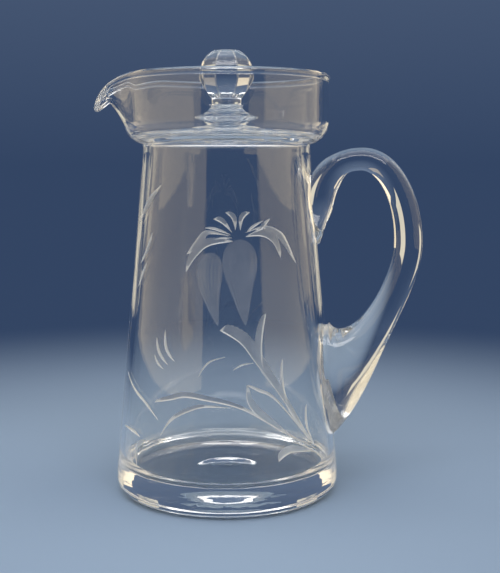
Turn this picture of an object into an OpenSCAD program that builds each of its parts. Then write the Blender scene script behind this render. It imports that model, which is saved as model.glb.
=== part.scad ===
// Clear glass cocktail pitcher: a tapered body with a heavy base, a wide collar with a pouring
// spout, an applied loop handle, and a domed lid with a faceted knob that sits inside the collar.
// The origin is the centre of the underside of the base, +Z is up, the handle points to +X
// and the spout to -X. All sizes are in millimetres.

/* [Body] */
// Diameter of the body at the foot
base_d = 110.4; // [100:0.2:124]
// Diameter of the body at the waist, below the collar
waist_d = 81.4; // [70:0.2:96]
// Height of the waist above the table
waist_z = 167; // [150:1:190]
// Thickness of the blown wall
wall = 3; // [2:0.1:4]
// Thickness of the solid glass base
floor_t = 13; // [8:0.5:20]
// Height of the upright band at the foot
foot_band = 10; // [9:0.5:16]
// Radius of the foot's lower edge
foot_round = 7; // [3:0.5:9]
// Radius between the floor and the wall inside
floor_round = 7; // [3:0.5:12]
// Diameter of the polished hollow under the base
dimple_d = 32; // [20:1:50]
// Depth of the polished hollow under the base
dimple_depth = 1.2; // [0.5:0.1:3]

/* [Collar] */
// Outer diameter of the collar
collar_d = 99.2; // [90:0.2:116]
// Height of the rim above the waist
collar_h = 37.4; // [33:0.2:48]
// Height of the lid's ledge above the waist
ledge_h = 8; // [7:0.5:10]
// Least width of the lid's ledge, from the neck to the collar's rounded seat
ledge_w = 4.9; // [4:0.1:8]
// Thickness of the glass under the ledge, at the neck
ledge_t = 4; // [3:0.5:5]
// Outer radius of the collar's rounded underside
bowl_round = 11; // [9:0.5:12]
// Radius inside the collar, between its ledge and its wall
seat_round = 4; // [3:0.5:5]
// Radius of the ledge's inner edge
ledge_edge = 1.4; // [0.5:0.1:2]
// Radius of the groove at the waist
groove_round = 1.5; // [0.8:0.1:2.5]
// Thickness of the rounded rim
rim_t = 3.8; // [3.2:0.1:5]

/* [Spout] */
// How far the spout's tip stands out from the collar
spout_reach = 17; // [10:0.5:24]
// Angle at the axis from the spout's middle to where it joins the round collar
spout_angle = 34; // [26:1:44]
// How far the rim falls along the spout's sides
rim_fall = 6.5; // [2:0.5:10]
// How much further the turned-down lip falls
lip_drop = 7.5; // [3:0.5:10]
// Angle at the axis that rounds the spout's tip
tip_round = 5.5; // [1.5:0.5:8]

/* [Handle] */
// How far the loop rises above the waist
loop_rise = 2.5; // [-6:0.5:8]
// Distance from the waist's wall out to the top of the loop
loop_lead = 25; // [20:1:32]
// Clear room for fingers between the wall and the grip
finger_gap = 37; // [30:1:48]
// Height of the grip's outermost point
grip_z = 124; // [112:1:134]
// Thickness of the loop at its top
loop_t = 11; // [8:0.5:14]
// Thickness of the grip
grip_t = 13.6; // [10:0.2:18]
// Width of the grip, across the handle
grip_w = 14.5; // [10:0.5:20]
// Length of the tail pressed down the wall, below the waist
tail_drop = 44; // [36:1:52]
// Thickness of the tail where it is pressed on
tail_press = 14.5; // [11:0.5:16]
// Thickness of the tail's end
tail_end_t = 6; // [4:0.5:8]
// Width of the tail's end
tail_end_w = 8; // [6:0.5:12]
// Height of the middle of the lower pad
pad_z = 55; // [48:0.5:66]
// Height of the lower pad where it meets the wall
pad_h = 57; // [44:1:64]
// Width of the lower pad
pad_w = 30; // [24:1:38]

/* [Lid] */
// Clearance between the lid's edge and the rounded seat
lid_gap = 0.3; // [0.2:0.1:1]
// Thickness of the lid at its edge
lid_edge_t = 2; // [1.4:0.2:2.6]
// Thickness of the lid at its middle
lid_t = 3; // [2:0.2:4]
// Rise of the dome from the lid's edge to the flat where the wafer sits
lid_rise = 5; // [4:0.5:8]
// Width of the ring by which the lid rests on its ledge
lid_seat_w = 3.6; // [2:0.2:5]

/* [Knob] */
// Diameter of the round wafer under the knob
wafer_d = 33.4; // [28:0.2:40]
// Thickness of the wafer
wafer_t = 4; // [3:0.2:6]
// Diameter of the stem's foot on the wafer
stem_foot_d = 22; // [18:0.5:26]
// Diameter of the stem at its narrowest
stem_d = 14.4; // [11:0.2:17]
// Height and radius of the stem's flare
stem_h = 5.4; // [4:0.2:7]
// Width of the knob across its facets
knob_d = 26.6; // [22:0.2:32]
// Height of the knob from the wafer to its flat top
knob_h = 30; // [27:0.5:36]
// Height of the knob's widest point above the wafer
knob_mid_h = 17.2; // [15:0.2:19]
// Width of the knob's flat top across its facets
knob_top_d = 12; // [6:0.5:18]
// Width of the knob across its facets where they start on the stem
knob_foot_d = 15.2; // [14.6:0.2:19]
// Height above the wafer where the facets start
knob_foot_h = 7; // [6:0.2:9]
// How far below the widest point the knob starts to taper
knob_taper_gap = 2; // [1:0.5:4]
// Number of facets around the knob
facets = 8; // [6:1:12]
// Turn of the knob's facets about its axis
knob_turn = -12.5; // [-22.5:0.5:22.5]

/* [Hidden] */
$fn = 96;

base_r = base_d / 2;
waist_r = waist_d / 2;
collar_r = collar_d / 2;
collar_in = collar_r - wall;
// The neck is as wide as the waist's wall leaves it, or narrower where the lid's ledge needs the room
neck_in = min(waist_r - wall, collar_in - seat_round - ledge_w);
ledge_z = waist_z + ledge_h;
rim_z = waist_z + collar_h;
// The lean of the tapered wall
taper = (base_r - waist_r) / (waist_z - foot_band);
lean = atan(taper);

// The height at which the revolved seat ends and the drawn collar and spout begin
seam_rise = 0.5;
seam_z = ledge_z + seat_round + seam_rise;
// The collar's underside is an arc that reaches full width here
bowl_z = ledge_z - ledge_t + bowl_round;
// How far a cut runs past the face that it opens
over = 1;
// How deep the drawn collar is rooted in the seat, and how far it stays inside the seat's faces
root_depth = 0.8;
root_inset = 0.2;

function wall_r(z) = z < foot_band ? base_r : base_r - taper * (min(z, waist_z) - foot_band);
function bowl_r(z) = collar_r - bowl_round + sqrt(max(0, pow(bowl_round, 2) - pow(min(z, bowl_z) - bowl_z, 2)));
function bowl_under(r) = bowl_z - sqrt(pow(bowl_round, 2) - pow(max(0, r - collar_r + bowl_round), 2));
function mix(a, b, t) = a + (b - a) * t;
function ease(t) = let (s = min(1, max(0, t))) s * s * (3 - 2 * s);
// The radius of an arc of a given half width and rise
function arc_r(half, rise) = (half * half + rise * rise) / (2 * rise);

// Faces that close a stack of rings into a tube, as triangles; wrap joins the last ring to the first
function tube_faces(rings, sides, wrap) = [
    for (i = [0 : rings - (wrap ? 1 : 2)])
        for (j = [0 : sides - 1])
            let (
                a = i * sides + j,
                b = i * sides + (j + 1) % sides,
                c = ((i + 1) % rings) * sides + (j + 1) % sides,
                d = ((i + 1) % rings) * sides + j
            )
            each [[a, b, c], [a, c, d]]
];

// Outline of the body as a solid, from the foot to the seam with the drawn collar
module envelope_profile() {
    // The groove's round takes at most half of what the collar stands out from the waist
    groove = min(groove_round, (collar_r - waist_r) / 2);
    groove_z = bowl_under(waist_r + groove);
    bowl_mid = collar_r - bowl_round;
    polygon([
        [0, 0],
        [base_r - foot_round, 0],
        [base_r - foot_round, foot_round],
        [base_r, foot_round],
        [base_r, foot_band],
        [waist_r, waist_z],
        [waist_r, groove_z],
        [0, groove_z]
    ]);
    translate([base_r - foot_round, foot_round]) circle(foot_round);
    difference() {
        translate([waist_r - over, groove_z - groove]) square([groove + over, groove]);
        translate([waist_r + groove, groove_z - groove]) circle(groove);
    }
    intersection() {
        union() {
            translate([bowl_mid, bowl_z]) circle(bowl_round);
            translate([0, bowl_z - bowl_round]) square([bowl_mid, 2 * bowl_round]);
            translate([0, bowl_z]) square([collar_r, bowl_round]);
        }
        square([2 * collar_r, seam_z]);
    }
}

// Outline of the hollow: the tapered inside, the neck, and the seat for the lid
module hollow_profile() {
    top = seam_z + over;
    round_z = floor_t + floor_round;
    round_r = wall_r(round_z) - (wall + floor_round) / cos(lean);
    polygon([
        [0, floor_t],
        [round_r, floor_t],
        [round_r, round_z],
        [round_r + floor_round * cos(lean), round_z + floor_round * sin(lean)],
        [neck_in, waist_z],
        [neck_in, top],
        [0, top]
    ]);
    translate([round_r, round_z]) circle(floor_round);
    polygon([
        [0, ledge_z],
        [collar_in - seat_round, ledge_z],
        [collar_in - seat_round, ledge_z + seat_round],
        [collar_in, ledge_z + seat_round],
        [collar_in, top],
        [0, top]
    ]);
    translate([collar_in - seat_round, ledge_z + seat_round]) circle(seat_round);
    difference() {
        translate([neck_in - over, ledge_z - ledge_edge]) square([ledge_edge + over, ledge_edge]);
        translate([neck_in + ledge_edge, ledge_z - ledge_edge]) circle(ledge_edge);
    }
}

// Cuts away everything on the far side of the axis
module right_half() {
    intersection() {
        children();
        translate([0, -rim_z]) square([2 * base_r, 3 * rim_z]);
    }
}

module glass_profile() {
    dimple_r = arc_r(dimple_d / 2, dimple_depth);
    right_half() difference() {
        envelope_profile();
        hollow_profile();
        translate([0, dimple_depth - dimple_r]) circle(dimple_r, $fn = 360);
    }
}

// The drawn collar follows the middle of its wall, from the seam up to the rim. A height of 0 is
// the seam and a height of 1 is the middle of the rounded rim. Near the seam it thins to its root.
bead_r = rim_t / 2;
bead_z = rim_z - bead_r;
draw_h = bead_z - seam_z;
root_mid = (bowl_r(seam_z) + collar_in) / 2;
root_half = (bowl_r(seam_z) - collar_in) / 2 - root_inset;
root_blend = 0.15;
function wall_mid(height) = mix(root_mid, collar_r - wall / 2, ease(height / root_blend));
function wall_half(height) = mix(root_half, wall / 2, ease(height / root_blend));

// The spout pulls the wall out and down: fully at its middle, less and less to each side.
// The sides fall late and the lip later still, which turns its end down.
out_power = 1.1;
fall_power = 4;
lip_power = 9;
side_power = 1.45;
lip_side_power = 3;
low_round = 8;
function spout_pull(turn, height) =
    let (
        soft = tip_round + low_round * (1 - height),
        far = sqrt(pow(spout_angle, 2) + pow(soft, 2)) - soft,
        away = (sqrt(pow(turn, 2) + pow(soft, 2)) - soft) / far
    )
    away < 1 ? pow(1 - away, side_power) : 0;
function mid_line(turn, height) =
    let (
        h = max(0, height),
        pull = spout_pull(turn, h),
        fall = rim_fall * pull * pow(h, fall_power),
        lip = lip_drop * pow(pull, lip_side_power) * pow(h, lip_power)
    )
    [wall_mid(h) + spout_reach * pull * pow(h, out_power), seam_z + draw_h * height - fall - lip];

// The section's points: a height on the middle line, then an offset along it and one square to it
wall_steps = 8;
rim_steps = 6;
rim_start = -40;
root_height = -root_depth / draw_h;
face_heights = concat(
    [root_height],
    [for (i = [0 : wall_steps]) i / wall_steps * (1 - rim_t / draw_h)]
);
collar_section = concat(
    [for (h = face_heights) [h, 0, wall_half(h)]],
    [
        for (i = [0 : rim_steps])
            let (a = mix(rim_start, 180 - rim_start, i / rim_steps))
            [1, bead_r * sin(a), bead_r * cos(a)]
    ],
    [for (i = [len(face_heights) - 1 : -1 : 0]) [face_heights[i], 0, -wall_half(face_heights[i])]]
);
slope_step = 0.01;
function collar_point(p, turn) =
    let (
        mid = mid_line(abs(turn), p[0]),
        v = mid_line(abs(turn), p[0] + slope_step) - mid_line(abs(turn), p[0] - slope_step),
        along = v / norm(v),
        r = mid[0] + p[1] * along[0] + p[2] * along[1],
        z = mid[1] + p[1] * along[1] - p[2] * along[0]
    )
    [-r * cos(turn), -r * sin(turn), z];

// Sections stand close together at the spout and further apart behind the handle
around = 108;
near_share = 0.45;
function section_turn(i) =
    let (t = 2 * i / around - 1)
    180 * (near_share * t + (1 - near_share) * pow(t, 3));

module drawn_collar() {
    sides = len(collar_section);
    points = [
        for (i = [0 : around - 1])
            for (p = collar_section)
                collar_point(p, section_turn(i))
    ];
    polyhedron(points, tube_faces(around, sides, true));
}

module pitcher_body() {
    color("aliceblue", 0.5) union() {
        rotate_extrude() glass_profile();
        drawn_collar();
    }
}

// The handle's middle line is three cubic curves: up the wall from the tail's end, over the loop,
// and down the grip to the lower pad. Both ends lie a little inside the wall.
end_sink = 1;
tail_z = waist_z - tail_drop;
tail_foot = [wall_r(tail_z) - end_sink, tail_z];
loop_top = [waist_r + loop_lead, waist_z + loop_rise - loop_t / 2];
grip_mid = [wall_r(grip_z) + finger_gap + grip_t / 2, grip_z];
pad_mid = [wall_r(pad_z) - end_sink, pad_z];
// How strongly each end of a curve pulls it, as a share of the curve's own height or width
tail_pull = [0.65, 0.68];
loop_pull = [0.6, 0.52];
grip_pull = [0.3, 0.45, 0.2];
tail_curve = [
    tail_foot,
    tail_foot + [0, tail_pull[0] * (loop_top[1] - tail_z)],
    [loop_top[0] - tail_pull[1] * loop_lead, loop_top[1]],
    loop_top
];
loop_curve = [
    loop_top,
    [mix(loop_top[0], grip_mid[0], loop_pull[0]), loop_top[1]],
    [grip_mid[0], mix(grip_z, loop_top[1], loop_pull[1])],
    grip_mid
];
grip_curve = [
    grip_mid,
    [grip_mid[0], mix(grip_z, pad_z, grip_pull[0])],
    [mix(pad_mid[0], grip_mid[0], grip_pull[1]), mix(pad_z, grip_z, grip_pull[2])],
    pad_mid
];
function curve_at(c, t) =
    pow(1 - t, 3) * c[0] + 3 * pow(1 - t, 2) * t * c[1] + 3 * (1 - t) * t * t * c[2] + t * t * t * c[3];
function curve_slope(c, t) =
    pow(1 - t, 2) * (c[1] - c[0]) + 2 * (1 - t) * t * (c[2] - c[1]) + t * t * (c[3] - c[2]);
// The angle of a section's outer side, square to the middle line
function section_angle(c, t) =
    let (v = curve_slope(c, t))
    atan2(v[0], -v[1]);

// Each station is its middle, the angle of its outer side, its thickness and its width
tail_stations = [
    for (i = [0 : 15])
        let (t = i / 16, a = section_angle(tail_curve, t))
        [
            curve_at(tail_curve, t),
            a < -90 ? a + 360 : a,
            lookup(t, [[0, tail_end_t], [0.25, tail_press], [0.55, tail_press], [0.8, loop_t], [1, loop_t]]),
            lookup(t, [[0, tail_end_w], [0.3, grip_w], [1, grip_w]])
        ]
];
loop_stations = [
    for (i = [0 : 13])
        let (t = i / 14)
        [
            curve_at(loop_curve, t),
            section_angle(loop_curve, t),
            mix(loop_t, grip_t, t),
            grip_w
        ]
];
// The sections of the grip turn upright as they spread into the pad, which rounds over to its full size
pad_turn = -90 - section_angle(grip_curve, 1);
pad_round = 2;
pad_h_power = 5.5;
pad_w_power = 4.6;
function pad_spread(t, power) = 1 - pow(1 - pow(t, power), pad_round);
grip_stations = [
    for (i = [0 : 20])
        let (t = i / 20)
        [
            curve_at(grip_curve, t),
            section_angle(grip_curve, t) + pad_turn * ease((t - 0.45) / 0.55),
            mix(grip_t, pad_h, pad_spread(t, pad_h_power)),
            mix(grip_w, pad_w, pad_spread(t, pad_w_power))
        ]
];
// The pad goes on into the round, leaning wall until its whole rim has reached it
pad_root = pow(pad_w, 2) / (8 * wall_r(pad_z)) + taper * pad_h / 2;
root_station = [pad_mid - [pad_root, 0], -90, pad_h, pad_w];
stations = concat(tail_stations, loop_stations, grip_stations, [root_station]);

module handle_sweep() {
    sides = 24;
    points = [
        for (s = stations)
            for (j = [0 : sides - 1])
                let (
                    out = s[2] / 2 * cos(360 * j / sides),
                    side = s[3] / 2 * sin(360 * j / sides)
                )
                [s[0][0] + out * cos(s[1]), side, s[0][1] + out * sin(s[1])]
    ];
    last = (len(stations) - 1) * sides;
    caps = [
        for (j = [1 : sides - 2])
            each [[0, j + 1, j], [last, last + j, last + j + 1]]
    ];
    polyhedron(points, concat(tube_faces(len(stations), sides, false), caps));
}

module handle() {
    color("lightcyan", 0.6) difference() {
        handle_sweep();
        rotate_extrude() right_half() envelope_profile();
    }
}

lid_r = collar_in - seat_round - lid_gap;
lid_round = lid_edge_t / 2;
lid_body_r = lid_r - lid_round;
land_z = ledge_z + lid_edge_t + lid_rise;
wafer_r = wafer_d / 2;

module lid_plate() {
    // The dome passes through the edge of the flat and the top of the rounded rim
    span = pow(lid_body_r, 2) - pow(wafer_r, 2);
    dome_r = sqrt(pow(wafer_r, 2) + pow((span - pow(lid_rise, 2)) / (2 * lid_rise), 2));
    dome_mid = land_z - sqrt(pow(dome_r, 2) - pow(wafer_r, 2));
    under_half = lid_r - lid_seat_w;
    under_rise = land_z - lid_t - ledge_z;
    under_r = arc_r(under_half, under_rise);
    color("aliceblue", 0.5) rotate_extrude() right_half() difference() {
        union() {
            intersection() {
                translate([0, dome_mid]) circle(dome_r, $fn = 360);
                translate([0, ledge_z]) square([lid_body_r, land_z - ledge_z]);
            }
            translate([lid_body_r, ledge_z + lid_round]) circle(lid_round);
        }
        translate([0, land_z - lid_t - under_r]) circle(under_r, $fn = 360);
    }
}

wafer_top = land_z + wafer_t;
// The wafer's rounded edge, and the flat ring round the stem's foot
wafer_edge = 0.4 * wafer_t;
wafer_land = 0.5;
stem_foot_r = stem_foot_d / 2;
stem_r = stem_d / 2;

module knob_wafer() {
    color("azure", 0.6) rotate_extrude() {
        polygon([
            [0, land_z],
            [wafer_r - wafer_edge, land_z],
            [wafer_r - wafer_edge, land_z + 2 * wafer_edge],
            [stem_foot_r + wafer_land, wafer_top],
            [0, wafer_top]
        ]);
        translate([wafer_r - wafer_edge, land_z + wafer_edge]) circle(wafer_edge);
    }
}

module knob() {
    top_z = wafer_top + knob_h;
    mid_z = wafer_top + knob_mid_h;
    ball_z = wafer_top + knob_foot_h;
    knob_r = knob_d / 2;
    // Facets are flat across, so their corners stand out beyond the width across them
    corner = 1 / cos(180 / facets);
    // The rounded upper half is stretched so that it meets the flat top at its edge
    stretch = (knob_h - knob_mid_h) / sqrt(pow(knob_r, 2) - pow(knob_top_d / 2, 2));
    color("azure", 0.7) union() {
        rotate_extrude() difference() {
            translate([0, wafer_top]) square([stem_foot_r, stem_h]);
            translate([stem_r + stem_h, wafer_top + stem_h]) circle(stem_h);
        }
        translate([0, 0, wafer_top]) cylinder(r = stem_r, h = knob_mid_h);
        rotate(knob_turn) rotate_extrude($fn = facets) scale([corner, 1]) right_half() intersection() {
            translate([0, mid_z]) scale([1, stretch]) circle(knob_r, $fn = 64);
            polygon([
                [0, ball_z],
                [knob_foot_d / 2, ball_z],
                [knob_r, mid_z - knob_taper_gap],
                [knob_r, top_z],
                [0, top_z]
            ]);
        }
    }
}

pitcher_body();
handle();
lid_plate();
knob_wafer();
knob();
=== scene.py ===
from math import atan, atan2, cos, degrees, hypot, log, pi, radians, sin, sqrt

import bmesh
import bpy
from mathutils import Matrix, Vector


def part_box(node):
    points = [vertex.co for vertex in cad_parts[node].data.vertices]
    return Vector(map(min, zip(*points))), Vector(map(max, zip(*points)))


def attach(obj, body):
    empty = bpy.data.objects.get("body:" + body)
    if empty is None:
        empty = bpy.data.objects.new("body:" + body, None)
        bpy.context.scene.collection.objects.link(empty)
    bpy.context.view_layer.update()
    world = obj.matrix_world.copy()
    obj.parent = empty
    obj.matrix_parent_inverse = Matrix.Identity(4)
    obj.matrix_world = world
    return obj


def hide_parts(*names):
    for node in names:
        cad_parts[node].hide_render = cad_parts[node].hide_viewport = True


# Clear glass cocktail pitcher with lid. The pieces and the camera are set in millimetres and degrees,
# the looks and the studio in metres.
# A place on the wall is (turn, height): turn 0 faces the front, 90 the handle, -90 the spout.
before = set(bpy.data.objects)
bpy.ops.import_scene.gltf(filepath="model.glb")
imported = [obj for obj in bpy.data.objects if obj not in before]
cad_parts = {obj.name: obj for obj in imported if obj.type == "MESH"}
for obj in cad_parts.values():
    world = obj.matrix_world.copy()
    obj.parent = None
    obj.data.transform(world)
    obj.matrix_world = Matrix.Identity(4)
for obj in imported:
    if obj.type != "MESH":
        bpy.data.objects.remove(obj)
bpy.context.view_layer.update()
scene = bpy.context.scene
mm = 0.001


def mix(a, b, share):
    return a + (b - a) * share


def ease(share):
    s = min(1, max(0, share))
    return s * s * (3 - 2 * s)


def alongKeys(keys, share):
    # value at a share of the way, eased between the keys (share, value)
    for (s0, v0), (s1, v1) in zip(keys, keys[1:]):
        if share <= s1:
            return mix(v0, v1, ease((share - s0) / (s1 - s0)))
    return keys[-1][1]


# Camera, fitted to the photograph's 500 x 573 frame
cameraSetup = {
    "distance": 507,  # level, from the pitcher's axis
    "height": 161.6,
    "turn": 10,  # round from the front towards the handle
    "tilt": 6.78,  # down
    "swing": 1.29,  # to the right of the axis
    "lens": 64.65,
}


def makeCamera(s):
    camera = bpy.data.cameras.new("camera")
    camera.lens = s["lens"]
    camera.clip_start = 0.01
    camera.clip_end = 60
    holder = bpy.data.objects.new("camera", camera)
    turn = radians(s["turn"])
    holder.location = (s["distance"] * mm * sin(turn), -s["distance"] * mm * cos(turn), s["height"] * mm)
    holder.rotation_euler = (radians(90 - s["tilt"]), 0, radians(s["turn"] - s["swing"]))
    scene.collection.objects.link(holder)
    scene.camera = holder


makeCamera(cameraSetup)
print("camera set")


# Material helpers
def newMaterial(name):
    material = bpy.data.materials.new(name)
    material.use_nodes = True
    tree = material.node_tree
    tree.nodes.clear()
    out = tree.nodes.new("ShaderNodeOutputMaterial")
    return material, tree, out


def addNode(tree, kind, values=None, **settings):
    node = tree.nodes.new(kind)
    for key, value in settings.items():
        setattr(node, key, value)
    for key, value in (values or {}).items():
        node.inputs[key].default_value = value
    return node


def noiseField(tree, scale, detail=2.0, stretch=(1, 1, 1)):
    # noise on object coordinates, in features per metre
    coords = addNode(tree, "ShaderNodeTexCoord")
    mapping = addNode(tree, "ShaderNodeMapping", {"Scale": stretch})
    noise = addNode(tree, "ShaderNodeTexNoise", {"Scale": scale, "Detail": detail})
    tree.links.new(coords.outputs["Object"], mapping.inputs["Vector"])
    tree.links.new(mapping.outputs["Vector"], noise.inputs["Vector"])
    return noise.outputs["Fac"]


def rampTo(tree, source, low, high, start=0.35, end=0.65):
    # a number that runs from low to high as the source runs from start to end
    ramp = addNode(tree, "ShaderNodeMapRange",
                   {"From Min": start, "From Max": end, "To Min": low, "To Max": high})
    tree.links.new(source, ramp.inputs["Value"])
    return ramp.outputs["Result"]


def tintBetween(tree, source, low, high):
    ramp = addNode(tree, "ShaderNodeValToRGB")
    ramp.color_ramp.elements[0].position = 0.35
    ramp.color_ramp.elements[0].color = (*low, 1)
    ramp.color_ramp.elements[1].position = 0.65
    ramp.color_ramp.elements[1].color = (*high, 1)
    tree.links.new(source, ramp.inputs["Fac"])
    return ramp.outputs["Color"]


def bumpFrom(tree, source, strength, distance, before=None):
    bump = addNode(tree, "ShaderNodeBump", {"Strength": strength, "Distance": distance})
    tree.links.new(source, bump.inputs["Height"])
    if before is not None:
        tree.links.new(before, bump.inputs["Normal"])
    return bump.outputs["Normal"]


glassLooks = {
    "bodyGlass": {"tints": ((0.99, 0.997, 0.99), (1.0, 1.0, 0.997)), "rough": (0.0, 0.02),
                  "streaks": 0.08, "streakEnd": (0.166, 0.178), "waves": 0.03, "grain": 30},
    "handleGlass": {"tints": ((0.993, 0.998, 0.993), (1.0, 1.0, 0.998)), "rough": (0.0, 0.015),
                    "streaks": 0.03, "streakEnd": (0.15, 0.17), "waves": 0.06, "grain": 45},
    "lidGlass": {"tints": ((0.985, 0.995, 0.98), (1.0, 1.0, 0.99)), "rough": (0.0, 0.02),
                 "streaks": 0.0, "waves": 0.05, "grain": 60},
    "knobGlass": {"tints": ((0.99, 0.995, 0.99), (1.0, 1.0, 1.0)), "rough": (0.0, 0.012),
                  "streaks": 0.0, "waves": 0.015, "grain": 90},
}
drawnGlass = {
    "waveGrain": 0.6, "waveDepth": 0.002,  # slow waves, as a share of the grain, and metres
    "streakGrain": 160, "streakStretch": (1, 1, 0.06), "streakDepth": 0.0008,
    "smudgeFrom": 0.5, "smudgeTo": 0.8,
}


def clearGlass(name):
    s, d = glassLooks[name], drawnGlass
    material, tree, out = newMaterial(name)
    shader = addNode(tree, "ShaderNodeBsdfPrincipled",
                     {"IOR": 1.5, "Transmission Weight": 1.0, "Specular IOR Level": 0.5})
    smudges = noiseField(tree, s["grain"], detail=4)
    tree.links.new(tintBetween(tree, smudges, *s["tints"]), shader.inputs["Base Color"])
    rough = rampTo(tree, smudges, *s["rough"], start=d["smudgeFrom"], end=d["smudgeTo"])
    tree.links.new(rough, shader.inputs["Roughness"])
    waves = noiseField(tree, s["grain"] * d["waveGrain"], detail=1)
    normal = bumpFrom(tree, waves, s["waves"], d["waveDepth"])
    if s["streaks"]:
        drawn = noiseField(tree, d["streakGrain"], stretch=d["streakStretch"])
        normal = bumpFrom(tree, drawn, s["streaks"], d["streakDepth"], normal)
        # they fade out above the drawn wall
        coords = addNode(tree, "ShaderNodeTexCoord")
        parts = addNode(tree, "ShaderNodeSeparateXYZ")
        tree.links.new(coords.outputs["Object"], parts.inputs[0])
        fade = rampTo(tree, parts.outputs["Z"], s["streaks"], 0, *s["streakEnd"])
        tree.links.new(fade, normal.node.inputs["Strength"])
    tree.links.new(normal, shader.inputs["Normal"])
    tree.links.new(shader.outputs["BSDF"], out.inputs["Surface"])
    return material


cutLooks = {
    "edgeCut": {"clear": 0.6, "rough": (0.4, 0.55), "grit": 0.3,
                "tints": ((0.93, 0.94, 0.93), (0.99, 0.99, 0.98))},
    "slopeCut": {"clear": 0.88, "rough": (0.28, 0.45), "grit": 0.35,
                 "tints": ((0.9, 0.92, 0.92), (0.98, 0.985, 0.98))},
    "petalCut": {"clear": 0.92, "rough": (0.12, 0.24), "grit": 0.25,
                 "tints": ((0.93, 0.94, 0.94), (0.99, 0.99, 0.99))},
    "rubbedEdge": {"clear": 0.78, "rough": (0.15, 0.3), "grit": 0.1,  # between the knob's facets
                   "tints": ((0.95, 0.96, 0.95), (1.0, 1.0, 0.99))},
}
groundGlass = {"gritGrain": 2600, "gritDepth": 0.0002, "patchGrain": 140}


def mattCut(name):
    # the ground surface that the cutting wheel leaves
    s, g = cutLooks[name], groundGlass
    material, tree, out = newMaterial(name)
    shader = addNode(tree, "ShaderNodeBsdfPrincipled", {"IOR": 1.5, "Transmission Weight": s["clear"]})
    grit = noiseField(tree, g["gritGrain"], detail=3)
    patches = noiseField(tree, g["patchGrain"], detail=3)
    tree.links.new(tintBetween(tree, patches, *s["tints"]), shader.inputs["Base Color"])
    tree.links.new(rampTo(tree, patches, *s["rough"]), shader.inputs["Roughness"])
    tree.links.new(bumpFrom(tree, grit, s["grit"], g["gritDepth"]), shader.inputs["Normal"])
    tree.links.new(shader.outputs["BSDF"], out.inputs["Surface"])
    return material


fusedLook = {"seedGrain": 900, "tints": ((0.985, 0.99, 0.985), (1.0, 1.0, 1.0))}


def fusedGlass(name):
    # where two gathers have melted together: light goes straight on, past a few faint seeds
    s = fusedLook
    material, tree, out = newMaterial(name)
    shader = addNode(tree, "ShaderNodeBsdfPrincipled",
                     {"IOR": 1.0, "Transmission Weight": 1.0, "Roughness": 0.0})
    seeds = noiseField(tree, s["seedGrain"], detail=3)
    tree.links.new(tintBetween(tree, seeds, *s["tints"]), shader.inputs["Base Color"])
    tree.links.new(shader.outputs["BSDF"], out.inputs["Surface"])
    return material


materials = {name: clearGlass(name) for name in glassLooks}
materials.update({name: mattCut(name) for name in cutLooks})
materials["fusedGlass"] = fusedGlass("fusedGlass")
print("materials made:", len(materials))


# Mesh helpers
def arcPoints(centre, radius, start, end, steps):
    # points of an arc in the outline's plane (radius, height)
    turns = [radians(mix(start, end, i / steps)) for i in range(steps + 1)]
    return [(centre[0] + radius * cos(t), centre[1] + radius * sin(t)) for t in turns]


def runTo(outline, end, support=0.5, longest=8):
    # a straight stretch from the outline's last point, with close points at both its ends
    start = Vector(outline[-1])
    way = Vector(end) - start
    length = way.length
    stops = []
    if length > 3 * support:
        count = max(1, round((length - 2 * support) / longest))
        stops = [support + (length - 2 * support) * i / count for i in range(count + 1)]
    return outline + [tuple(start + way * (s / length)) for s in stops] + [tuple(end)]


def spinOutline(outline, steps):
    # turns an outline that starts and ends on the axis into a closed shell
    bm = bmesh.new()
    verts = [bm.verts.new((r * mm, 0, z * mm)) for r, z in outline]
    edges = [bm.edges.new(pair) for pair in zip(verts, verts[1:])]
    bmesh.ops.spin(bm, geom=verts + edges, cent=(0, 0, 0), axis=(0, 0, 1), dvec=(0, 0, 0),
                   angle=2 * pi, steps=steps, use_merge=True)
    bmesh.ops.remove_doubles(bm, verts=bm.verts, dist=1e-7)
    bmesh.ops.recalc_face_normals(bm, faces=bm.faces)
    return bm


def asObject(bm, name, *looks):
    mesh = bpy.data.meshes.new(name)
    bm.to_mesh(mesh)
    bm.free()
    for look in looks:
        mesh.materials.append(materials[look])
    mesh.shade_smooth()
    piece = bpy.data.objects.new(name, mesh)
    scene.collection.objects.link(piece)
    return piece


def carve(piece, tool, operation="DIFFERENCE", solver="EXACT"):
    # applies a boolean and throws the tool away
    boolean = piece.modifiers.new("carve", "BOOLEAN")
    boolean.operation = operation
    boolean.solver = solver
    boolean.object = tool
    boolean.material_mode = "TRANSFER"
    bpy.context.view_layer.update()
    made = bpy.data.meshes.new_from_object(piece.evaluated_get(bpy.context.evaluated_depsgraph_get()))
    piece.modifiers.clear()
    old = piece.data
    made.name = old.name
    piece.data = made
    bpy.data.meshes.remove(old)
    bpy.data.objects.remove(tool)


def place(piece, body, slot, *nodes):
    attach(piece, body)
    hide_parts(*nodes)


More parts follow.
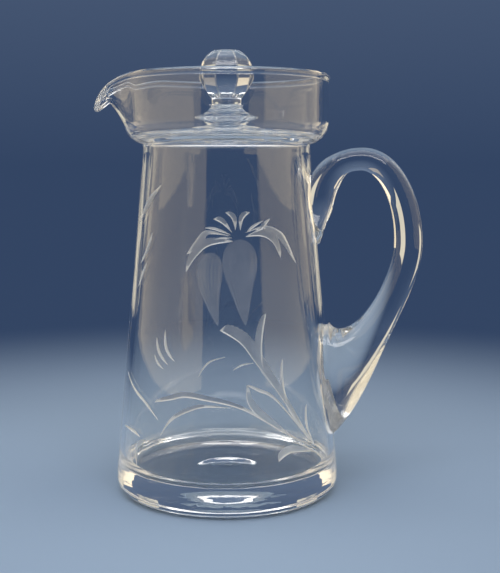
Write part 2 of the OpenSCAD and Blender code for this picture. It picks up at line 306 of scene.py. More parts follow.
# Pitcher body: one outline spun about the axis, then the spout is drawn out of the collar
bodyShape = {
    "baseR": round(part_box("pitcher_body")[1].y / mm, 1),
    "footRound": 7, "footBand": 10, "floor": 13, "floorRound": 7, "wall": 3,
    "hollowR": 16, "hollowDepth": 1.2,  # polished hollow under the base
    "waistR": 40.7, "waistZ": 167, "grooveRound": 1.5,
    "ledgeZ": 175, "ledgeDrop": 4, "ledgeEdge": 1.4, "seatRound": 4,
    "collarR": 49.6, "bowlRound": 11, "rimZ": 204.4, "rimThick": 3.8, "rimTurn": 40,
    "steps": 320,
}
spout = {
    "seamZ": 179.5, "reach": 17, "angle": 34, "tipRound": 5.5, "lowRound": 8,
    "sideFall": 6.5, "lipDrop": 7.5, "blend": 0.22, "ends": 90,
    "outPower": 1.1, "fallPower": 4, "lipPower": 9, "sidePower": 1.45, "lipSidePower": 3,
    "thin": 0.4,  # share of the thickness that is drawn away at the lip
    "fineZ": 189, "cuts": 2,
}
wallTaper = (bodyShape["baseR"] - bodyShape["waistR"]) / (bodyShape["waistZ"] - bodyShape["footBand"])
wallLean = atan(wallTaper)


def wallR(z):
    return bodyShape["baseR"] - wallTaper * (z - bodyShape["footBand"])


def outerOutline(s):
    hollowArc = (s["hollowR"] ** 2 + s["hollowDepth"] ** 2) / (2 * s["hollowDepth"])
    hollowEnd = degrees(atan2(hollowArc - s["hollowDepth"], s["hollowR"]))
    points = arcPoints((0, s["hollowDepth"] - hollowArc), hollowArc, 90, hollowEnd, 6)
    points = runTo(points, (s["baseR"] - s["footRound"], 0))
    points += arcPoints((s["baseR"] - s["footRound"], s["footRound"]), s["footRound"], -90, 0, 12)[1:]
    points = runTo(points, (s["baseR"], s["footBand"]))
    points = runTo(points, (s["waistR"], s["waistZ"]), longest=5)
    # groove at the waist, then the round underside of the collar
    bowlZ = s["ledgeZ"] - s["ledgeDrop"] + s["bowlRound"]
    bowlR = s["collarR"] - s["bowlRound"]
    grooveR = s["waistR"] + s["grooveRound"]
    grooveZ = bowlZ - sqrt(s["bowlRound"] ** 2 - (grooveR - bowlR) ** 2)
    points = runTo(points, (s["waistR"], grooveZ - s["grooveRound"]))
    points += arcPoints((grooveR, grooveZ - s["grooveRound"]), s["grooveRound"], 180, 90, 8)[1:]
    bowlStart = degrees(atan2(grooveZ - bowlZ, grooveR - bowlR))
    points += arcPoints((bowlR, bowlZ), s["bowlRound"], bowlStart, 0, 16)[1:]
    return points


def innerOutline(s):
    # from the collar's wall down over the seat, ledge and neck to the middle of the floor
    collarIn = s["collarR"] - s["wall"]
    neckIn = s["waistR"] - s["wall"]
    seat, edge = s["seatRound"], s["ledgeEdge"]
    points = arcPoints((collarIn - seat, s["ledgeZ"] + seat), seat, 0, -90, 10)
    points = runTo(points, (neckIn + edge, s["ledgeZ"]))
    points += arcPoints((neckIn + edge, s["ledgeZ"] - edge), edge, 90, 180, 8)[1:]
    points = runTo(points, (neckIn, s["waistZ"]))
    roundZ = s["floor"] + s["floorRound"]
    roundR = wallR(roundZ) - (s["wall"] + s["floorRound"]) / cos(wallLean)
    corner = arcPoints((roundR, roundZ), s["floorRound"], degrees(wallLean), -90, 14)
    points = runTo(points, corner[0], longest=5) + corner[1:]
    return runTo(points, (0, s["floor"]))


def rimBead(s):
    beadR = s["rimThick"] / 2
    middle = (s["collarR"] - s["wall"] / 2, s["rimZ"] - beadR)
    return arcPoints(middle, beadR, -s["rimTurn"], 180 + s["rimTurn"], 24)


def spoutPull(turn, height):
    # how far the spout has its way: 1 at its middle, 0 where the collar is round
    soft = spout["tipRound"] + spout["lowRound"] * (1 - height)
    far = hypot(spout["angle"], soft) - soft
    left = 1 - (hypot(turn, soft) - soft) / far
    full = (1 + hypot(1, spout["blend"])) / 2
    return ((left + hypot(left, spout["blend"])) / 2 / full) ** spout["sidePower"]


def collarMid(turn, height):
    # middle of the collar's wall, height 0 at the seam and 1 at the middle of the rim
    s = bodyShape
    h = max(0, height)
    pull = spoutPull(turn, h)
    fall = spout["sideFall"] * pull * h ** spout["fallPower"]
    lip = spout["lipDrop"] * pull ** spout["lipSidePower"] * h ** spout["lipPower"]
    rise = s["rimZ"] - s["rimThick"] / 2 - spout["seamZ"]
    r = s["collarR"] - s["wall"] / 2 + spout["reach"] * pull * h ** spout["outPower"]
    return Vector((r, spout["seamZ"] + rise * height - fall - lip))


def spoutTurn(vert):
    return degrees(atan2(abs(vert.co.y), -vert.co.x))


def refineSpout(bm):
    # shorter edges round the collar by the spout
    level = [e for e in bm.edges
             if min(v.co.z for v in e.verts) > spout["seamZ"] * mm
             and max(spoutTurn(v) for v in e.verts) < spout["angle"]
             and abs(e.verts[0].co.z - e.verts[1].co.z) < 1e-7
             and abs(e.verts[0].co.xy.length - e.verts[1].co.xy.length) < 1e-7]
    bmesh.ops.subdivide_edges(bm, edges=level, cuts=spout["cuts"], use_grid_fill=True)


def roundR(x, y):
    # radius of the round wall at a point that may lie on a chord between two spin steps
    step = 2 * pi / bodyShape["steps"]
    return hypot(x, y) * cos(atan2(y, x) % step - step / 2) / cos(step / 2)


def drawSpout(bm):
    s = bodyShape
    beadZ = s["rimZ"] - s["rimThick"] / 2
    beadStart = beadZ - s["rimThick"] / 2 * sin(radians(s["rimTurn"]))
    for vert in bm.verts:
        x, y, z = vert.co / mm
        turn = spoutTurn(vert)
        if z <= spout["seamZ"] or turn >= spout["ends"]:
            continue
        height = min(1, (z - spout["seamZ"]) / (beadZ - spout["seamZ"])) if z < beadStart else 1
        along = z - beadZ if z >= beadStart else 0
        across = roundR(x, y) - (s["collarR"] - s["wall"] / 2)
        way = (collarMid(turn, height + 0.01) - collarMid(turn, height - 0.01)).normalized()
        left = 1 - spout["thin"] * spoutPull(turn, height) * height
        spot = collarMid(turn, height) + (along * way + across * Vector((way.y, -way.x))) * left
        flat = hypot(x, y)
        vert.co = Vector((x / flat * spot.x, y / flat * spot.x, spot.y)) * mm


def makeBody():
    s = bodyShape
    outline = outerOutline(s)
    bead = rimBead(s)
    outline = runTo(outline, (s["collarR"], spout["fineZ"]), longest=2)
    outline = runTo(outline, bead[0], longest=0.6) + bead[1:]
    inside = innerOutline(s)
    outline = runTo(outline, (inside[0][0], spout["fineZ"]), longest=0.6)
    outline = runTo(outline, inside[0], longest=2) + inside[1:]
    bm = spinOutline(outline, s["steps"])
    refineSpout(bm)
    drawSpout(bm)
    bmesh.ops.recalc_face_normals(bm, faces=bm.faces)
    return asObject(bm, "pitcherBody", "bodyGlass", "edgeCut", "slopeCut", "petalCut", "fusedGlass")


pitcherBody = makeBody()
place(pitcherBody, "pitcher", "body_glass", "pitcher_body")
print("body made:", len(pitcherBody.data.polygons), "faces")


# Handle: a ring swept up the wall, over the loop and down to the pad, then trimmed to the wall
handleShape = {
    "loopRise": 2.5, "loopLead": 25, "fingerGap": 37, "gripZ": 124,
    "loopThick": 11, "gripThick": 13.6, "gripWide": 14.5,
    "tailDrop": 44, "tailPress": 14.5, "tailEndThick": 6, "tailEndWide": 8,
    "tailTip": 2.4, "tailRound": 0.06, "tailCrowd": 1.6,  # its round end, with closer sections
    "pressFrom": 0.28, "pressTo": 0.5, "loopFrom": 0.85, "wideFrom": 0.35,  # shares of the way up the tail
    "tailPull": (0.65, 0.68), "loopPull": (0.6, 0.52), "strutPull": (0.3, 0.45, 0.2),  # reach of the curves
    "padZ": 55, "padHigh": 57, "padWide": 30, "padRound": 2, "padHighPower": 5.5, "padWidePower": 4.6,
    "padTurnFrom": 0.45,  # share of the way down the strut where it starts to turn square to the wall
    "sink": 1, "fuse": 0.05,  # how deep the ends start inside the wall, and how deep they are trimmed
    "plugRise": 20, "sharpFrom": 50,
    "sides": 44, "stations": (44, 40, 64),
}


def curveAt(c, t):
    u = 1 - t
    return c[0] * u ** 3 + c[1] * (3 * u * u * t) + c[2] * (3 * u * t * t) + c[3] * t ** 3


def curveAngle(c, t):
    # angle of a section's outer side, square to the middle line
    u = 1 - t
    v = (c[1] - c[0]) * u * u + (c[2] - c[1]) * (2 * u * t) + (c[3] - c[2]) * t * t
    return degrees(atan2(v.x, -v.y))


def handleCurves(s):
    waistR, waistZ = bodyShape["waistR"], bodyShape["waistZ"]
    tailZ = waistZ - s["tailDrop"]
    tailFoot = Vector((wallR(tailZ) - s["sink"], tailZ))
    top = Vector((waistR + s["loopLead"], waistZ + s["loopRise"] - s["loopThick"] / 2))
    grip = Vector((wallR(s["gripZ"]) + s["fingerGap"] + s["gripThick"] / 2, s["gripZ"]))
    pad = Vector((wallR(s["padZ"]) - s["sink"], s["padZ"]))
    up, back = s["tailPull"]
    tail = [tailFoot, tailFoot + Vector((0, up * (top.y - tailZ))),
            Vector((top.x - back * s["loopLead"], top.y)), top]
    over, under = s["loopPull"]
    loop = [top, Vector((mix(top.x, grip.x, over), top.y)), Vector((grip.x, mix(grip.y, top.y, under))), grip]
    down, out, rise = s["strutPull"]
    strut = [grip, Vector((grip.x, mix(grip.y, pad.y, down))),
             Vector((mix(pad.x, grip.x, out), mix(pad.y, grip.y, rise))), pad]
    return tail, loop, strut


def handleStations(s):
    # each is a middle point, the angle of the outer side, a thickness and a width
    tail, loop, strut = handleCurves(s)
    tailSteps, loopSteps, strutSteps = s["stations"]
    stations = []
    for i in range(tailSteps):
        t = (i / tailSteps) ** s["tailCrowd"]
        angle = curveAngle(tail, t)
        thick = alongKeys([(0, s["tailEndThick"]),
                           (s["pressFrom"], s["tailPress"]), (s["pressTo"], s["tailPress"]),
                           (s["loopFrom"], s["loopThick"]), (1, s["loopThick"])], t)
        wide = alongKeys([(0, s["tailEndWide"]), (s["wideFrom"], s["gripWide"]), (1, s["gripWide"])], t)
        left = max(0, 1 - t / s["tailRound"])
        tip = mix(s["tailTip"] / s["tailEndThick"], 1, sqrt(1 - left ** 2))
        thick, wide = thick * tip, wide * tip
        stations.append((curveAt(tail, t), angle + 360 if angle < -90 else angle, thick, wide))
    for i in range(loopSteps):
        t = i / loopSteps
        thick = mix(s["loopThick"], s["gripThick"], t)
        stations.append((curveAt(loop, t), curveAngle(loop, t), thick, s["gripWide"]))
    padTurn = -90 - curveAngle(strut, 1)
    for i in range(strutSteps + 1):
        t = i / strutSteps
        tall, broad = (1 - (1 - t ** s[power]) ** s["padRound"]
                       for power in ("padHighPower", "padWidePower"))
        turned = ease((t - s["padTurnFrom"]) / (1 - s["padTurnFrom"]))
        stations.append((curveAt(strut, t), curveAngle(strut, t) + padTurn * turned,
                         mix(s["gripThick"], s["padHigh"], tall), mix(s["gripWide"], s["padWide"], broad)))
    # the pad goes on into the wall until its whole rim has reached it
    root = s["padWide"] ** 2 / (8 * wallR(s["padZ"])) + wallTaper * s["padHigh"] / 2
    stations.append((strut[3] - Vector((root, 0)), -90, s["padHigh"], s["padWide"]))
    return stations


def matrixOf(across, up, ahead, spot):
    matrix = Matrix.Identity(4)
    for column, axis in enumerate((across, up, ahead, spot)):
        for row in range(3):
            matrix[row][column] = axis[row]
    return matrix


def sectionMatrix(station):
    middle, angle, thick, wide = station
    out = Vector((cos(radians(angle)), 0, sin(radians(angle))))
    side = Vector((0, 1, 0))
    spot = Vector((middle.x, 0, middle.y)) * mm
    return matrixOf(out * thick / 2 * mm, side * wide / 2 * mm, out.cross(side), spot)


def sweepRing(bm, matrices):
    # extrudes the ring in bm from each place to the next and closes both ends
    edges = list(bm.edges)
    bmesh.ops.transform(bm, matrix=matrices[0], verts=bm.verts)
    bmesh.ops.contextual_create(bm, geom=edges)
    for before, after in zip(matrices, matrices[1:]):
        made = bmesh.ops.extrude_edge_only(bm, edges=edges)["geom"]
        edges = [e for e in made if isinstance(e, bmesh.types.BMEdge)]
        verts = [v for v in made if isinstance(v, bmesh.types.BMVert)]
        bmesh.ops.transform(bm, matrix=after @ before.inverted(), verts=verts)
    bmesh.ops.contextual_create(bm, geom=edges)
    bmesh.ops.recalc_face_normals(bm, faces=bm.faces)


def wallPlug(inset):
    # a solid cone a little inside the outer wall
    s = bodyShape
    low, high = s["footBand"], s["waistZ"] + handleShape["plugRise"]
    bm = bmesh.new()
    bmesh.ops.create_cone(bm, cap_ends=True, segments=s["steps"], depth=(high - low) * mm,
                          radius1=(wallR(low) - inset) * mm, radius2=(wallR(high) - inset) * mm)
    bmesh.ops.translate(bm, verts=bm.verts, vec=(0, 0, (low + high) / 2 * mm))
    return asObject(bm, "wallPlug", "fusedGlass")


def makeHandle():
    s = handleShape
    bm = bmesh.new()
    bmesh.ops.create_circle(bm, segments=s["sides"], radius=1)
    sweepRing(bm, [sectionMatrix(station) for station in handleStations(s)])
    piece = asObject(bm, "handle", "handleGlass", "fusedGlass")
    carve(piece, wallPlug(s["fuse"]))
    piece.data.set_sharp_from_angle(angle=radians(s["sharpFrom"]))
    return piece


def seatHandle():
    # lets the handle's ends into the wall
    tool = bpy.data.objects.new("seat", handlePiece.data.copy())
    scene.collection.objects.link(tool)
    tool.data.materials.clear()
    tool.data.materials.append(materials["fusedGlass"])
    carve(pitcherBody, tool, solver="MANIFOLD")


handlePiece = makeHandle()
seatHandle()
place(handlePiece, "pitcher", "handle_glass", "handle")
print("handle made:", len(handlePiece.data.polygons), "faces")


# Wheel-cut flower and leaves on the front wall. A cut has a steep side along its path and a
# matt slope beside it, on the left (1) or right (-1) of the way from first to last point; 0 is even.
spray = {
    "steepWide": 0.55, "steepMost": 0.5, "shallow": 0.25, "deepen": 0.07, "deepest": 0.6,
    "petalDeep": 0.1, "clear": 0.35,  # how far the cutter stands clear of the wall
    "thinnest": 0.06, "fullFrom": 0.5, "endsIn": 14,  # the ends narrow over one part in 14 of the length
    "softFrom": 1.7, "softLean": 0.94,  # wider cuts than this are left half clear on their flatter side
    "steps": 30, "nudge": 0.01,
    # lines down a flat petal, at shares of its width, left out for a few steps at its ends
    "veins": (-0.38, -0.24, -0.1, 0.04, 0.18, 0.32), "veinWide": 0.5, "veinDeep": 0.08,
    "veinMost": 0.08, "veinRise": 3, "veinLean": 0.3, "veinFrom": 3, "veinTo": -5,
    "cuts": [
        # path of (turn, height), widest, where it is widest, least width, side
        # spray of leaves, from their tips to the root by the handle
        ([(6, 87), (17, 81), (25, 72), (36, 59), (50, 41), (61, 29)], 5.4, 0.2, 0.9, 1),
        ([(32, 94), (30, 86), (29, 78), (30, 70), (36, 61), (46, 48)], 3.6, 0.3, 0.7, -1),
        ([(41, 73), (41, 61), (44, 51), (49, 43), (57, 33)], 1.8, 0.35, 0.6, -1),
        ([(56, 50), (56, 40), (60, 31)], 1.6, 0.4, 0.5, -1),
        ([(20, 62), (26, 59), (33, 56), (41, 49), (59, 30)], 1.5, 0.3, 0.7, 1),
        ([(20, 62), (20, 55), (24, 49), (31, 44), (38, 40), (50, 33)], 3.6, 0.4, 0.6, 1),
        ([(36, 26), (44, 29), (60, 27)], 4.0, 0.35, 0.5, 1),
        # stems that reach to the left, and the leaves there
        ([(-31, 52), (-21, 54), (-12, 56), (-1, 55), (11, 53), (22, 49), (43, 37), (61, 28)],
         2.6, 0.3, 0.9, 1),
        ([(-26, 37), (-19, 45), (-9, 50), (-1, 52), (12, 52)], 2.0, 0.5, 0.5, 1),
        ([(-5, 66), (-2, 70), (2, 73), (9, 75)], 0.8, 0.5, 0.3, 1),
        ([(13, 69), (18, 71), (24, 72)], 0.8, 0.5, 0.3, 1),
        ([(-32, 82), (-29, 76), (-23, 70)], 1.6, 0.5, 0.4, -1),
        ([(-26, 86), (-24, 78), (-19, 72)], 1.6, 0.5, 0.4, -1),
        ([(-33, 74), (-30, 71), (-26, 68)], 1.2, 0.5, 0.4, -1),
        ([(-36, 33), (-42, 28), (-42, 20)], 2.6, 0.4, 0.4, -1),
        ([(-63, 62), (-50, 55), (-38, 50), (-28, 44)], 1.6, 0.5, 0.5, 1),
        ([(-60, 36), (-48, 35), (-41, 34)], 1.6, 0.5, 0.4, 1),
        # leaves at the upper left
        ([(-36, 152), (-47, 147), (-54, 142), (-62, 133)], 3.4, 0.5, 0.4, 1),
        ([(-42, 130), (-47, 123), (-54, 115)], 2.2, 0.5, 0.4, 1),
        ([(-46, 116), (-51, 111), (-55, 104)], 2.2, 0.5, 0.4, 1),
        # flower: hanging petals, then the ones that spread to both sides
        ([(2, 122), (0, 114), (1, 103), (5, 89)], 12.0, 0.35, 0.4, 0),
        ([(18, 128), (17.5, 118), (18, 106), (20, 89)], 16.0, 0.35, 0.4, 0),
        ([(14, 127), (0, 125), (-8, 120), (-14, 113)], 4.2, 0.5, 0.4, -1),
        ([(12, 129.5), (-2, 132), (-9, 127), (-14, 121)], 3.4, 0.6, 0.4, 1),
        ([(12, 130), (3, 132), (-3, 133)], 1.3, 0.5, 0.4, -1),
        ([(13, 128.6), (7, 128), (2, 127.6)], 1.0, 0.5, 0.3, -1),
        ([(13, 131), (7, 135), (2, 137)], 2.4, 0.6, 0.3, -1),
        ([(15, 132), (13, 137), (9, 140)], 2.4, 0.6, 0.3, -1),
        ([(18, 132), (20, 137), (24, 140)], 2.4, 0.6, 0.3, 1),
        ([(22, 131), (26, 133), (32, 136)], 1.3, 0.5, 0.4, 1),
        ([(23, 130), (31, 132), (37, 137)], 1.8, 0.6, 0.3, 1),
        ([(21, 131), (33, 134), (44, 131), (49, 126), (55, 116)], 3.4, 0.6, 0.4, -1),
        ([(21, 129), (31, 129), (38, 126), (43, 119)], 4.0, 0.5, 0.4, 1),
    ],
}


def throughPoints(points, share):
    # a smooth line through the points
    last = len(points) - 1
    i = min(last - 1, int(share * last))
    t = share * last - i
    a, b, c, d = (Vector(points[min(last, max(0, k))]) for k in (i - 1, i, i + 1, i + 2))
    return 0.5 * (2 * b + (c - a) * t + (2 * a - 5 * b + 4 * c - d) * t * t
                  + (3 * b - a - 3 * c + d) * t ** 3)


def wallSpot(spot):
    turn, z = radians(spot[0]), spot[1]
    return Vector((sin(turn) * wallR(z), -cos(turn) * wallR(z), z))


def wallNormal(x, y):
    flat = hypot(x, y)
    return Vector((x / flat * cos(wallLean), y / flat * cos(wallLean), sin(wallLean)))


def besideSpot(here, beside, reach):
    # the spot on the wall at a distance to one side of a place
    turn, z = here
    level = beside.x * cos(radians(turn)) + beside.y * sin(radians(turn))
    return wallSpot((turn + degrees(level * reach / wallR(z)), z + beside.z * reach))


def cutMatrices(path, widest, belly, least, side):
    s = spray
    power = log(0.5) / log(belly)
    matrices = []
    for i in range(s["steps"] + 1):
        share = i / s["steps"]
        here = throughPoints(path, share)
        ahead = (wallSpot(throughPoints(path, min(1, share + s["nudge"])))
                 - wallSpot(throughPoints(path, max(0, share - s["nudge"])))).normalized()
        spot = wallSpot(here)
        beside = wallNormal(spot.x, spot.y).cross(ahead).normalized() * (side or 1)
        ends = min(1, s["endsIn"] * share, s["endsIn"] * (1 - share))
        wide = max(widest * sin(pi * share ** power), least * ends, s["thinnest"])
        full = min(1, wide / s["fullFrom"])
        # straight across the round wall, from one edge of the cut to the other
        edge = besideSpot(here, beside, 0 if side else -wide / 2)
        chord = besideSpot(here, beside, wide if side else wide / 2) - edge
        out = ahead.cross(chord).normalized() * (side or 1)
        clear = s["clear"] + wide ** 2 / (8 * wallR(here[1]))
        if side:
            deep = min(s["deepest"], s["shallow"] + s["deepen"] * wide) * full
            steep = min(s["steepMost"], s["steepWide"] / wide)
            rise = (deep + clear) / deep
            across, up = chord * rise, out * (deep + clear) + chord * rise * (0.5 - steep)
        else:
            deep, steep = s["petalDeep"] * full, 0.5
            across, up = chord, out * (deep + clear)
        bottom = edge + chord * steep - out * deep
        matrices.append(matrixOf(across * mm, up * mm, ahead * mm, bottom * mm))
    return matrices


def veinMatrices(petal, share):
    # a fine groove along a petal, at a share of its width from the middle
    s = spray
    matrices = []
    for matrix in cutMatrices(*petal)[s["veinFrom"]:s["veinTo"]]:
        across, up, ahead, spot = (matrix.col[k].xyz for k in range(4))
        out = up.normalized() * s["veinDeep"] * mm
        wide = across.normalized() * min(s["veinWide"] * mm, s["veinMost"] * across.length)
        bottom = spot + across * share - out
        matrices.append(matrixOf(wide * s["veinRise"], out * s["veinRise"], ahead, bottom))
    return matrices


veeSection = ((0, 0, 0), (-0.5, 1, 0), (0.5, 1, 0))
flatSection = ((-0.5, 0, 0), (-0.5, 1, 0), (0.5, 1, 0), (0.5, 0, 0))


def makeCutter(section, matrices, softLean, softLook="slopeCut"):
    # a bar along the cut; its faces stay half clear where they lie along the wall
    bm = bmesh.new()
    corners = [bm.verts.new(c) for c in section]
    for i in range(len(corners)):
        bm.edges.new((corners[i - 1], corners[i]))
    sweepRing(bm, matrices)
    for face in bm.faces:
        middle = face.calc_center_median()
        lean = abs(face.normal.dot(wallNormal(middle.x, middle.y)))
        face.material_index = 1 if lean > softLean else 0
    return asObject(bm, "cutter", "edgeCut", softLook)


def makeCut(cut):
    s = spray
    section, softLook = (veeSection, "slopeCut") if cut[-1] else (flatSection, "petalCut")
    softLean = s["softLean"] if cut[1] > s["softFrom"] else 1
    carve(pitcherBody, makeCutter(section, cutMatrices(*cut), softLean, softLook), solver="MANIFOLD")
    if section == flatSection:
        for share in s["veins"]:
            cutter = makeCutter(veeSection, veinMatrices(cut, share), s["veinLean"], softLook)
            carve(pitcherBody, cutter, solver="MANIFOLD")


def finishWall(piece):
    # sharp rims round the cuts and true cone normals on the wall that is left
    low, high = bodyShape["footBand"] + 1, bodyShape["waistZ"] - 1
    near = 0.02
    mesh = piece.data
    bm = bmesh.new()
    bm.from_mesh(mesh)
    for edge in bm.edges:
        edge.smooth = len({face.material_index for face in edge.link_faces}) == 1
    bm.to_mesh(mesh)
    bm.free()
    normals = [Vector(corner.vector) for corner in mesh.corner_normals]
    for face in mesh.polygons:
        if face.material_index:
            continue
        for loop in face.loop_indices:
            x, y, z = mesh.vertices[mesh.loops[loop].vertex_index].co / mm
            if low < z < high and abs(hypot(x, y) - wallR(z)) < near:
                normals[loop] = wallNormal(x, y)
    mesh.normals_split_custom_set(normals)


for cut in spray["cuts"]:
    makeCut(cut)
finishWall(pitcherBody)
print("cuts made:", len(spray["cuts"]), "body has", len(pitcherBody.data.polygons), "faces")


# Lid: a domed plate, the wafer on it and the cut knob
lidShape = {
    "lidR": 42.3, "edgeThick": 2, "middleThick": 3, "rise": 5, "seatWide": 3.6, "lift": 0.06,
    "waferR": 16.7, "waferThick": 4, "waferEdge": 1.2, "waferTurn": 60, "waferLand": 0.5,
    "footR": 11, "stemR": 7.2, "stemHigh": 5.4,
    "fuse": 0.05,  # how deep the wafer and the stem sink into the glass below them
    "steps": 192,
}
knobShape = {
    "wide": 26.6, "high": 30, "midHigh": 17.2, "topWide": 12, "startWide": 15.2, "startHigh": 7,
    "taperGap": 2, "facets": 8, "turn": -12.5, "edge": 0.45, "soften": 1.2,
    "rings": 28, "stemIn": 4, "sharpFrom": 30, "flatness": 80,
}
landZ = bodyShape["ledgeZ"] + lidShape["edgeThick"] + lidShape["rise"]
waferTop = landZ + lidShape["waferThick"]


def circleThrough(a, b):
    # centre height and radius of the circle on the axis that passes through two points
    centre = (b[0] ** 2 + b[1] ** 2 - a[0] ** 2 - a[1] ** 2) / (2 * (b[1] - a[1]))
    return centre, hypot(a[0], a[1] - centre)


def domeArc(a, b, steps):
    centre, radius = circleThrough(a, b)
    start = degrees(atan2(a[1] - centre, a[0]))
    end = degrees(atan2(b[1] - centre, b[0]))
    return arcPoints((0, centre), radius, start, end, steps)


def fuseDisc(piece, height, radius):
    # marks the flat faces at a height as a fused joint
    for face in piece.data.polygons:
        if abs(face.center.z - height * mm) < 1e-6 and face.center.xy.length < radius * mm:
            face.material_index = 1
    return piece


def makeLidPlate():
    s = lidShape
    low = bodyShape["ledgeZ"] + s["lift"]
    edge = s["edgeThick"] / 2
    points = domeArc((0, landZ - s["middleThick"]), (s["lidR"] - s["seatWide"], low), 16)
    points = runTo(points, (s["lidR"] - edge, low))
    points += arcPoints((s["lidR"] - edge, low + edge), edge, -90, 90, 12)[1:]
    points += domeArc((s["lidR"] - edge, low + 2 * edge), (s["waferR"], landZ), 16)[1:]
    points = runTo(points, (s["waferR"] - s["waferEdge"], landZ))
    points = runTo(points, (0, landZ))
    piece = asObject(spinOutline(points, s["steps"]), "lidPlate", "lidGlass", "fusedGlass")
    return fuseDisc(piece, landZ, s["waferR"] - s["waferEdge"])


def makeWafer():
    # its top slopes from the stem's foot to a round edge
    s = lidShape
    edge = s["waferEdge"]
    points = runTo([(0, landZ - s["fuse"])], (s["waferR"] - edge, landZ - s["fuse"]))
    points += arcPoints((s["waferR"] - edge, landZ + edge), edge, -90, s["waferTurn"], 12)
    points += domeArc(points[-1], (s["footR"] - s["waferLand"], waferTop), 8)[1:]
    points = runTo(points, (0, waferTop))
    piece = asObject(spinOutline(points, s["steps"]), "knobWafer", "lidGlass", "fusedGlass")
    fuseDisc(piece, landZ - s["fuse"], s["waferR"] - edge)
    return fuseDisc(piece, waferTop, s["footR"])


def knobR(z):
    # half width across the facets at a height: the round top, met by the taper from the stem
    s = knobShape
    halfWide = s["wide"] / 2
    middle = waferTop + s["midHigh"]
    tall = (s["high"] - s["midHigh"]) / sqrt(1 - (s["topWide"] / s["wide"]) ** 2)
    ball = halfWide * sqrt(max(0, 1 - ((z - middle) / tall) ** 2))
    start = waferTop + s["startHigh"]
    taper = mix(s["startWide"] / 2, halfWide, (z - start) / (middle - s["taperGap"] - start))
    return (ball + taper - hypot(ball - taper, s["soften"])) / 2


def makeKnob():
    s = knobShape
    start, top = waferTop + s["startHigh"], waferTop + s["high"]
    corner = 1 / cos(pi / s["facets"])
    heights = [mix(start, top, i / s["rings"]) for i in range(s["rings"] + 1)]
    outline = [(0, start)] + [(knobR(z) * corner, z) for z in heights] + [(0, top)]
    bm = spinOutline(outline, s["facets"])
    turned = Matrix.Rotation(radians(s["turn"]), 3, "Z")
    bmesh.ops.rotate(bm, verts=bm.verts, cent=(0, 0, 0), matrix=turned)
    corners = [e for e in bm.edges
               if abs(e.verts[0].co.z - e.verts[1].co.z) > 1e-5
               or (e.verts[0].co.z > (top - 0.01) * mm and min(v.co.xy.length for v in e.verts) > 1e-4)]
    rubbed = bmesh.ops.bevel(bm, geom=corners, offset=s["edge"] * mm, segments=3, profile=0.5,
                             affect="EDGES", material=-1)["faces"]
    for face in rubbed:
        face.material_index = 2
    ball = asObject(bm, "knob", "knobGlass", "fusedGlass", "rubbedEdge")
    r, high, foot = lidShape["stemR"], lidShape["stemHigh"], lidShape["footR"]
    flareStart = degrees(atan2(-sqrt(high ** 2 - (r + high - foot) ** 2), foot - r - high))
    points = runTo([(0, waferTop - lidShape["fuse"])], (foot, waferTop - lidShape["fuse"]))
    points += arcPoints((r + high, waferTop + high), high, flareStart, -180, 14)
    points = runTo(points, (r, start + s["stemIn"]))
    points = runTo(points, (0, start + s["stemIn"]))
    stem = asObject(spinOutline(points, lidShape["steps"]), "knobStem", "knobGlass")
    carve(ball, stem, "UNION")
    fuseDisc(ball, waferTop - lidShape["fuse"], foot)
    ball.data.set_sharp_from_angle(angle=radians(s["sharpFrom"]))
    even = ball.modifiers.new("even", "WEIGHTED_NORMAL")  # keeps the facets flat between their edges
    even.keep_sharp = True
    even.weight = s["flatness"]
    return ball


lidPlate = makeLidPlate()
place(lidPlate, "lid", "lid_glass", "lid_plate")
knobWafer = makeWafer()
place(knobWafer, "lid", "lid_glass", "knob_wafer")
knobPiece = makeKnob()
place(knobPiece, "lid", "knob_glass", "knob")
print("lid made: plate, wafer and knob")


# Studio: a pale floor that fades into a deep blue backdrop, a tall warm panel at each side, small
# warm ones behind that the thick glass picks up, and soft boxes above and in front
studio = {
    "floorColour": (0.23, 0.32, 0.48),
    "backColour": (0.034, 0.06, 0.125),
    "highColour": (0.13, 0.18, 0.28),  # what the backdrop lightens to overhead
    "fade": (0.10, 0.56),  # metres from the pitcher over which the floor becomes backdrop
    "floorSize": 12,
    "floorDrop": 0.0002,  # just under the foot
    "ambient": 0.15,
    "ambientColour": (0.97, 0.98, 1.0),
    "bounces": 200,  # light is passed along inside the thick glass
    "panels": [
        # name, place, width and height, the spot it faces, watts, colour
        ("leftPanel", (-0.69, -0.58, 0.70), (1.92, 1.40), (0.29, -0.38, 0.70), 8.0, (1.0, 0.81, 0.48)),
        ("rightPanel", (0.905, -0.11, 0.70), (1.55, 1.40), (-0.06, -0.37, 0.70), 6.5, (1.0, 0.81, 0.48)),
        ("leftStrip", (-0.553, 0.659, 0.10), (0.20, 0.20), (0, 0, 0.10), 0.085, (1.0, 0.88, 0.60)),
        ("rightStrip", (0.294, 0.808, 0.10), (0.20, 0.20), (0, 0, 0.10), 0.085, (1.0, 0.88, 0.60)),
        ("leftGlint", (-0.505, 0.696, 0.435), (0.12, 0.21), (0, 0, 0.435), 0.065, (1.0, 0.80, 0.48)),
        ("rightGlint", (0.237, 0.827, 0.435), (0.12, 0.21), (0, 0, 0.435), 0.022, (1.0, 0.80, 0.48)),
        ("leftGlow", (-0.962, 0.533, 0.62), (0.30, 0.56), (0, 0, 0.2), 0.75, (1.0, 0.80, 0.50)),
        ("rightGlow", (0.722, 0.83, 0.62), (0.30, 0.56), (0, 0, 0.2), 0.75, (1.0, 0.80, 0.50)),
        ("ceiling", (0.0, -0.3, 1.7), (2.6, 1.7), (0, -0.3, 0), 22, (1.0, 0.98, 0.95)),
        ("frontBox", (0.1, -0.9, 1.2), (1.5, 0.3), (0, 0, 0.1), 9, (1.0, 0.97, 0.92)),
    ],
}


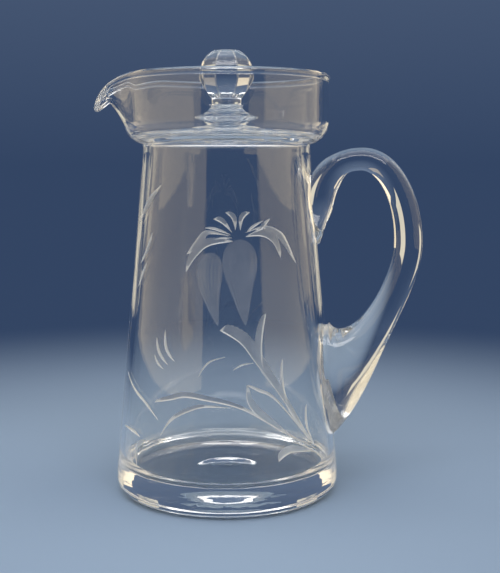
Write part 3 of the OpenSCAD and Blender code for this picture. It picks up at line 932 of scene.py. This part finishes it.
def seenDirectly(tree):
    # 1 for camera, mirror and glass rays, 0 for the light on other surfaces
    path = addNode(tree, "ShaderNodeLightPath")
    first = addNode(tree, "ShaderNodeMath", operation="MAXIMUM")
    second = addNode(tree, "ShaderNodeMath", operation="MAXIMUM")
    tree.links.new(path.outputs["Is Camera Ray"], first.inputs[0])
    tree.links.new(path.outputs["Is Glossy Ray"], first.inputs[1])
    tree.links.new(first.outputs[0], second.inputs[0])
    tree.links.new(path.outputs["Is Transmission Ray"], second.inputs[1])
    return second.outputs[0]


def makeFloor(s):
    material, tree, out = newMaterial("paleFloor")
    cloth = addNode(tree, "ShaderNodeBsdfDiffuse", {"Color": (*s["floorColour"], 1)})
    back = addNode(tree, "ShaderNodeEmission", {"Color": (*s["backColour"], 1), "Strength": 1.0})
    coords = addNode(tree, "ShaderNodeTexCoord")
    length = addNode(tree, "ShaderNodeVectorMath", operation="LENGTH")
    tree.links.new(coords.outputs["Object"], length.inputs[0])
    fade = addNode(tree, "ShaderNodeMapRange", {"From Min": s["fade"][0], "From Max": s["fade"][1]},
                   interpolation_type="SMOOTHSTEP")
    tree.links.new(length.outputs["Value"], fade.inputs["Value"])
    share = addNode(tree, "ShaderNodeMath", operation="MULTIPLY")
    tree.links.new(fade.outputs["Result"], share.inputs[0])
    tree.links.new(seenDirectly(tree), share.inputs[1])
    blend = addNode(tree, "ShaderNodeMixShader")
    tree.links.new(share.outputs[0], blend.inputs["Fac"])
    tree.links.new(cloth.outputs[0], blend.inputs[1])
    tree.links.new(back.outputs[0], blend.inputs[2])
    tree.links.new(blend.outputs[0], out.inputs["Surface"])
    materials["paleFloor"] = material
    bm = bmesh.new()
    bmesh.ops.create_circle(bm, cap_ends=True, segments=64, radius=s["floorSize"])
    bmesh.ops.translate(bm, verts=bm.verts, vec=(0, 0, -s["floorDrop"]))
    floor = asObject(bm, "floor", "paleFloor")


def makeWorld(s):
    world = bpy.data.worlds.new("studio")
    scene.world = world
    world.use_nodes = True
    tree = world.node_tree
    tree.nodes.clear()
    out = addNode(tree, "ShaderNodeOutputWorld")
    soft = addNode(tree, "ShaderNodeBackground",
                   {"Color": (*s["ambientColour"], 1), "Strength": s["ambient"]})
    back = addNode(tree, "ShaderNodeBackground", {"Color": (*s["backColour"], 1), "Strength": 1.0})
    high = addNode(tree, "ShaderNodeBackground", {"Color": (*s["highColour"], 1), "Strength": 1.0})
    way = addNode(tree, "ShaderNodeTexCoord")
    parts = addNode(tree, "ShaderNodeSeparateXYZ")
    tree.links.new(way.outputs["Generated"], parts.inputs[0])
    drop = addNode(tree, "ShaderNodeMixShader")
    tree.links.new(rampTo(tree, parts.outputs["Z"], 0, 1, start=0, end=0.6), drop.inputs["Fac"])
    tree.links.new(back.outputs[0], drop.inputs[1])
    tree.links.new(high.outputs[0], drop.inputs[2])
    blend = addNode(tree, "ShaderNodeMixShader")
    tree.links.new(seenDirectly(tree), blend.inputs["Fac"])
    tree.links.new(soft.outputs[0], blend.inputs[1])
    tree.links.new(drop.outputs[0], blend.inputs[2])
    tree.links.new(blend.outputs[0], out.inputs["Surface"])


def makePanel(name, spot, size, facing, watts, colour):
    lamp = bpy.data.lights.new(name, "AREA")
    lamp.shape = "RECTANGLE"
    lamp.size, lamp.size_y = size
    lamp.energy = watts
    lamp.color = colour
    holder = bpy.data.objects.new(name, lamp)
    holder.location = spot
    holder.rotation_euler = (Vector(facing) - Vector(spot)).to_track_quat("-Z", "Y").to_euler()
    scene.collection.objects.link(holder)


makeFloor(studio)
makeWorld(studio)
for panel in studio["panels"]:
    makePanel(*panel)
scene.view_settings.view_transform = "Standard"
scene.cycles.max_bounces = studio["bounces"]
scene.cycles.transmission_bounces = studio["bounces"]
scene.cycles.glossy_bounces = studio["bounces"]
print("studio set")
